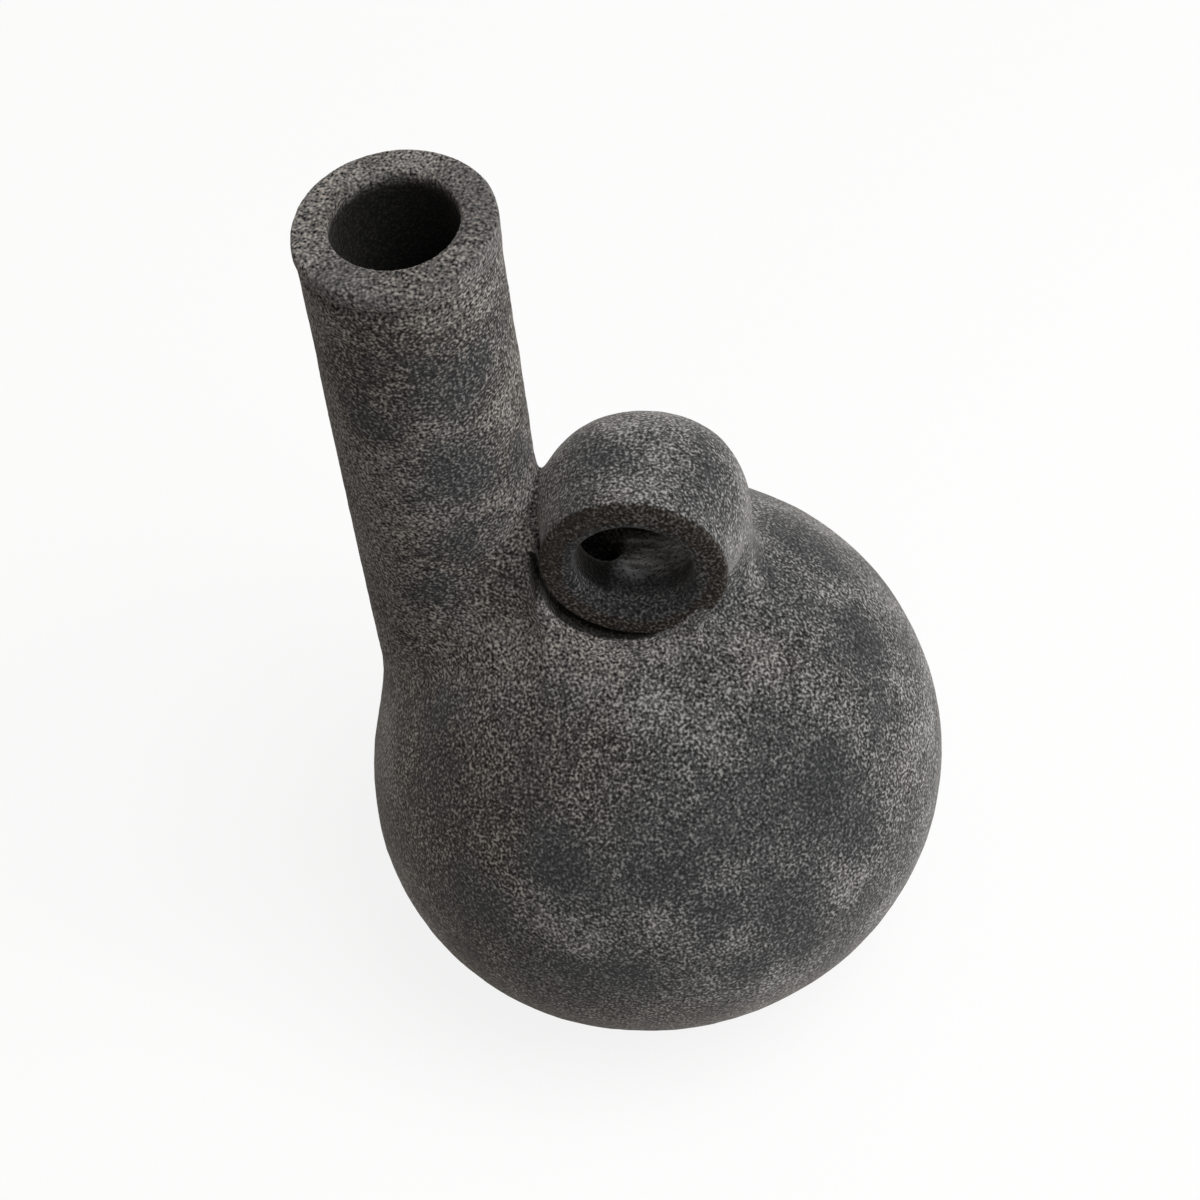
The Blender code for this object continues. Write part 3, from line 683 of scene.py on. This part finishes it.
def clayMaterial(name, sandiness, sheen, inside=None, paleness=0.0):
    material = bpy.data.materials.new(name)
    material.use_nodes = True
    tree = material.node_tree
    shader = tree.nodes["Principled BSDF"]
    vector = tree.nodes.new("ShaderNodeTexCoord").outputs["Object"]
    mottle = useGroup(tree, mottleGroup, vector)
    mottle.inputs["Sandiness"].default_value = sandiness
    sandy, brown, smooth = [Field(tree, mottle.outputs[key]) for key in ("Sandy", "Brown", "Smooth")]
    sand = useGroup(tree, sandGroup, vector)
    tree.links.new(sandy.socket, sand.inputs["Cover"])
    tipShare = (sandy * claySkin["tipSandy"] + brown * claySkin["tipBrown"] + claySkin["tipLeast"]
                - smooth * claySkin["tipSmooth"])
    tips = Field(tree, sand.outputs["Tips"]) * tipShare
    pitShare = brown * claySkin["pitBrown"] + claySkin["pitLeast"] - smooth * claySkin["pitSmooth"]
    pits = Field(tree, sand.outputs["Pits"]) * pitShare
    colour = mixColours(tree, brown, greyClay, brownClay)
    colour = mixColours(tree, smooth, colour, bareClay)
    pale = sandy.ease(*claySkin["paleFrom"]) * claySkin["paleShare"] + paleness
    colour = mixColours(tree, pale, colour, paleClay)
    tipColour = mixColours(tree, brown, paleTip, sandTip)
    if inside:
        bore = useGroup(tree, boreGroup, vector)
        for key in ("Mouth", "Inward", "Radius", "Start", "End", "Reach"):
            bore.inputs[key].default_value = inside[key]
        hidden, depth, offAxis = [Field(tree, bore.outputs[key]) for key in ("Mask", "Depth", "Off Axis")]
        sideways = axes(tree, vector)[0] - inside["Mouth"][0]
        rightEnd = inside.get("rightEnd")
        if rightEnd:
            hidden = hidden * sideways.ease(rightEnd, rightEnd - gapShift["fade"])
        # painted shade inside the neck and the mouth, and painted shadow in the gap around the mouth ring
        colour = mixColours(tree, hidden * inside["amount"], colour, inside["colour"])
        tips = tips * (hidden * (inside["tips"] - 1.0) + 1.0)
        # painted light falling into the mouth, streaked as a thumb left the clay
        litStreakDepth = inside.get("paintedLitStreaks")
        if litStreakDepth:
            stretched = vectorMaths(tree, "MULTIPLY", vector, litThumbStreaks["stretch"])
            streaks = noiseField(tree, stretched, **litThumbStreaks["noise"])
            near, far = [[litStreakDepth + limit for limit in litThumbStreaks[key]] for key in ("near", "far")]
            paintedLitStreaks = depth.ease(*near) * depth.ease(*far) * hidden
            litStreakColour = mixColours(tree, streaks.ease(*litThumbStreaks["contrast"]), litStreakDim, litStreakBright)
            colour = mixColours(tree, paintedLitStreaks, colour, litStreakColour)
            # painted shadow over the left of the hollow
            paintedLeftShadow = sideways.ease(*mouthShadow["side"]) * hidden.ease(*mouthShadow["depth"])
            colour = mixColours(tree, paintedLeftShadow * mouthShadow["share"], colour, paintedShadeClay)
            tips = tips * (paintedLeftShadow * mouthShadow["tips"] + 1.0)
        ironFrom = inside.get("ironFrom")
        if ironFrom:
            onFace = (-depth).ease(*wornFace["depth"])
            worn = onFace.most((-offAxis).ease(*wornFace["radius"]) * (hidden * -1.0 + 1.0))
            iron = offAxis.ease(ironFrom, ironFrom + wornFace["ironFade"]) * onFace
            colour = mixColours(tree, worn * wornFace["share"], colour, ringClayAndMouthShade)
            colour = mixColours(tree, iron * wornFace["share"], colour, ironClay)
            tips = tips * (worn * wornFace["tips"] + 1.0)
    colour = mixColours(tree, tips, colour, tipColour)
    colour = mixColours(tree, pits, colour, deepPit)
    tree.links.new(colour, shader.inputs["Base Color"])
    shader.inputs["Diffuse Roughness"].default_value = 1.0
    shader.inputs["Roughness"].default_value = claySkin["roughness"]
    shader.inputs["Specular IOR Level"].default_value = claySkin["specular"]
    shader.inputs["Sheen Weight"].default_value = sheen        # dust catches light along the edges
    shader.inputs["Sheen Roughness"].default_value = claySkin["sheenRoughness"]
    shader.inputs["Sheen Tint"].default_value = dustTint
    bump = tree.nodes.new("ShaderNodeBump")
    bump.inputs["Strength"].default_value = claySkin["bump"]
    bump.inputs["Distance"].default_value = claySkin["bumpDistance"]
    tree.links.new(sand.outputs["Height"], bump.inputs["Height"])
    tree.links.new(bump.outputs["Normal"], shader.inputs["Normal"])
    return material


bodyClay = clayMaterial("bodyClay", sandiness=0.50, sheen=0.20, inside=ringGap)
neckClay = clayMaterial("neckClay", sandiness=0.58, sheen=0.04, inside=neckInside)
spoutClay = clayMaterial("spoutClay", sandiness=0.53, sheen=0.20, inside=mouthInside)
rimClay = clayMaterial("rimClay", sandiness=0.50, sheen=0.04, inside=neckInside, paleness=0.40)
mouthClay = clayMaterial("mouthClay", sandiness=0.50, sheen=0.05, inside=mouthFace)
baseClay = clayMaterial("baseClay", sandiness=0.45, sheen=0.20)
print("clay finishes mixed")

bowlPiece = buildPiece("clay_bowl", bowl, bowlShape, bodyClay)
domePiece = buildPiece("clay_dome", dome, domeShape, bodyClay)
neckPiece = buildPiece("clay_neck", neck, neckShape, neckClay)
neckLipPiece = buildPiece("clay_neck_lip", neckLip, neckLipShape, rimClay)
spoutPiece = buildPiece("clay_spout", spout, spoutShape, spoutClay)
mouthLipPiece = buildPiece("clay_mouth_lip", mouthLip, mouthLipShape, mouthClay)

dressed = (
    (bowlPiece, "body_clay", ["lower_bowl"]),
    (domePiece, "body_clay", ["upper_dome", "neck_front_coil", "neck_back_coil"]),
    (neckPiece, "neck_clay", ["neck_tube"]),
    (neckLipPiece, "rim_clay", ["neck_lip"]),
    (spoutPiece, "spout_clay", ["spout_riser", "spout_outlet"]),
    (mouthLipPiece, "rim_clay", ["mouth_lip"]),
)
for piece, slotName, nodes in dressed:
    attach(piece, "root")
    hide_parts(*nodes)

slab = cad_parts["base_slab"]
for slot in slab.material_slots:
    slot.material = baseClay
print("pieces dressed")

# Studio: white floor, soft light from the upper right, a faint one from behind, the photograph's camera
studio = {"floorSize": 6.0, "floorDrop": 0.0003, "floorColour": (0.82, 0.82, 0.82, 1.0),
          "floorRoughness": 0.9, "whiteShare": 0.86, "whitening": (0.3, 1.6), "white": (1.0, 1.0, 1.0, 1.0),
          "worldLight": 0.25, "worldTint": (1.0, 0.92, 0.84, 1.0), "aimHeight": 0.12}
softboxes = {
    "topSoftbox": {"aim": (0.46, -0.14, 0.88), "distance": 1.6, "size": 1.4, "watts": 28.0},
    "sideSoftbox": {"aim": (0.95, -0.15, 0.22), "distance": 1.5, "size": 0.9, "watts": 7.5},
    "edgeSoftbox": {"aim": (-0.85, 0.50, 0.20), "distance": 1.5, "size": 0.7, "watts": 2.5},
}


def seenShare(tree):
    # one where the white studio is looked at, directly, in a reflection or through glass
    path = tree.nodes.new("ShaderNodeLightPath")
    direct, glossy, through = [Field(tree, path.outputs["Is %s Ray" % kind])
                               for kind in ("Camera", "Glossy", "Transmission")]
    return direct.most(glossy).most(through)


def buildFloor():
    half = studio["floorSize"] / 2
    mesh = bpy.data.meshes.new("studio_floor")
    corners = [(-half, -half), (half, -half), (half, half), (-half, half)]
    mesh.from_pydata([(x, y, -studio["floorDrop"]) for x, y in corners], [], [(0, 1, 2, 3)])
    floor = bpy.data.objects.new("studio_floor", mesh)
    bpy.context.collection.objects.link(floor)
    material = bpy.data.materials.new("studioFloor")
    material.use_nodes = True
    tree = material.node_tree
    shader = tree.nodes["Principled BSDF"]
    shader.inputs["Base Color"].default_value = studio["floorColour"]
    shader.inputs["Roughness"].default_value = studio["floorRoughness"]
    glow = tree.nodes.new("ShaderNodeEmission")
    glow.inputs["Color"].default_value = studio["white"]
    glow.inputs["Strength"].default_value = 1.0
    mix = tree.nodes.new("ShaderNodeMixShader")
    # whiter with the distance, so that no horizon shows
    x, y = axes(tree, tree.nodes.new("ShaderNodeTexCoord").outputs["Object"])[:2]
    white = x.span(y).ease(*studio["whitening"]) * (1.0 - studio["whiteShare"]) + studio["whiteShare"]
    tree.links.new((seenShare(tree) * white).socket, mix.inputs[0])
    tree.links.new(shader.outputs[0], mix.inputs[1])
    tree.links.new(glow.outputs[0], mix.inputs[2])
    tree.links.new(mix.outputs[0], tree.nodes["Material Output"].inputs["Surface"])
    mesh.materials.append(material)


def buildWorld():
    world = bpy.data.worlds.new("studioWorld")
    bpy.context.scene.world = world
    world.use_nodes = True
    tree = world.node_tree
    background = tree.nodes["Background"]
    seen = seenShare(tree)
    sky = mixColours(tree, seen, studio["worldTint"], studio["white"])
    tree.links.new(sky, background.inputs["Color"])
    strength = seen * (1.0 - studio["worldLight"]) + studio["worldLight"]
    tree.links.new(strength.socket, background.inputs["Strength"])


def buildLights():
    for name, spec in softboxes.items():
        lamp = bpy.data.lights.new(name, "AREA")
        lamp.shape = "DISK"
        lamp.size = spec["size"]
        lamp.energy = spec["watts"]
        softbox = bpy.data.objects.new(name, lamp)
        bpy.context.collection.objects.link(softbox)
        aim = Vector(spec["aim"]).normalized()
        softbox.location = Vector((0, 0, studio["aimHeight"])) + aim * spec["distance"]
        softbox.rotation_euler = aim.to_track_quat("Z", "Y").to_euler()


camera = {"azimuth": math.radians(12.2), "elevation": math.radians(50.97), "roll": math.radians(-7.85),
          "target": (-0.0104, -0.00225, 0.14115), "distance": 1.0055, "lens": 106.74, "sensor": 36.0}


def buildCamera():
    data = bpy.data.cameras.new("photoCamera")
    data.sensor_fit = "HORIZONTAL"
    data.sensor_width = camera["sensor"]
    data.lens = camera["lens"]
    viewer = bpy.data.objects.new("photoCamera", data)
    bpy.context.collection.objects.link(viewer)
    turn, lift, roll = camera["azimuth"], camera["elevation"], camera["roll"]
    back = Vector((math.cos(lift) * math.sin(turn), -math.cos(lift) * math.cos(turn), math.sin(lift)))
    level = Vector((math.cos(turn), math.sin(turn), 0))
    up = back.cross(level)
    right = math.cos(roll) * level + math.sin(roll) * up
    top = back.cross(right)
    viewer.matrix_world = Matrix((right, top, back)).transposed().to_4x4()
    viewer.location = Vector(camera["target"]) + camera["distance"] * back
    bpy.context.scene.camera = viewer


buildFloor()
buildWorld()
buildLights()
buildCamera()
bpy.context.scene.view_settings.view_transform = "Standard"
print("studio set")
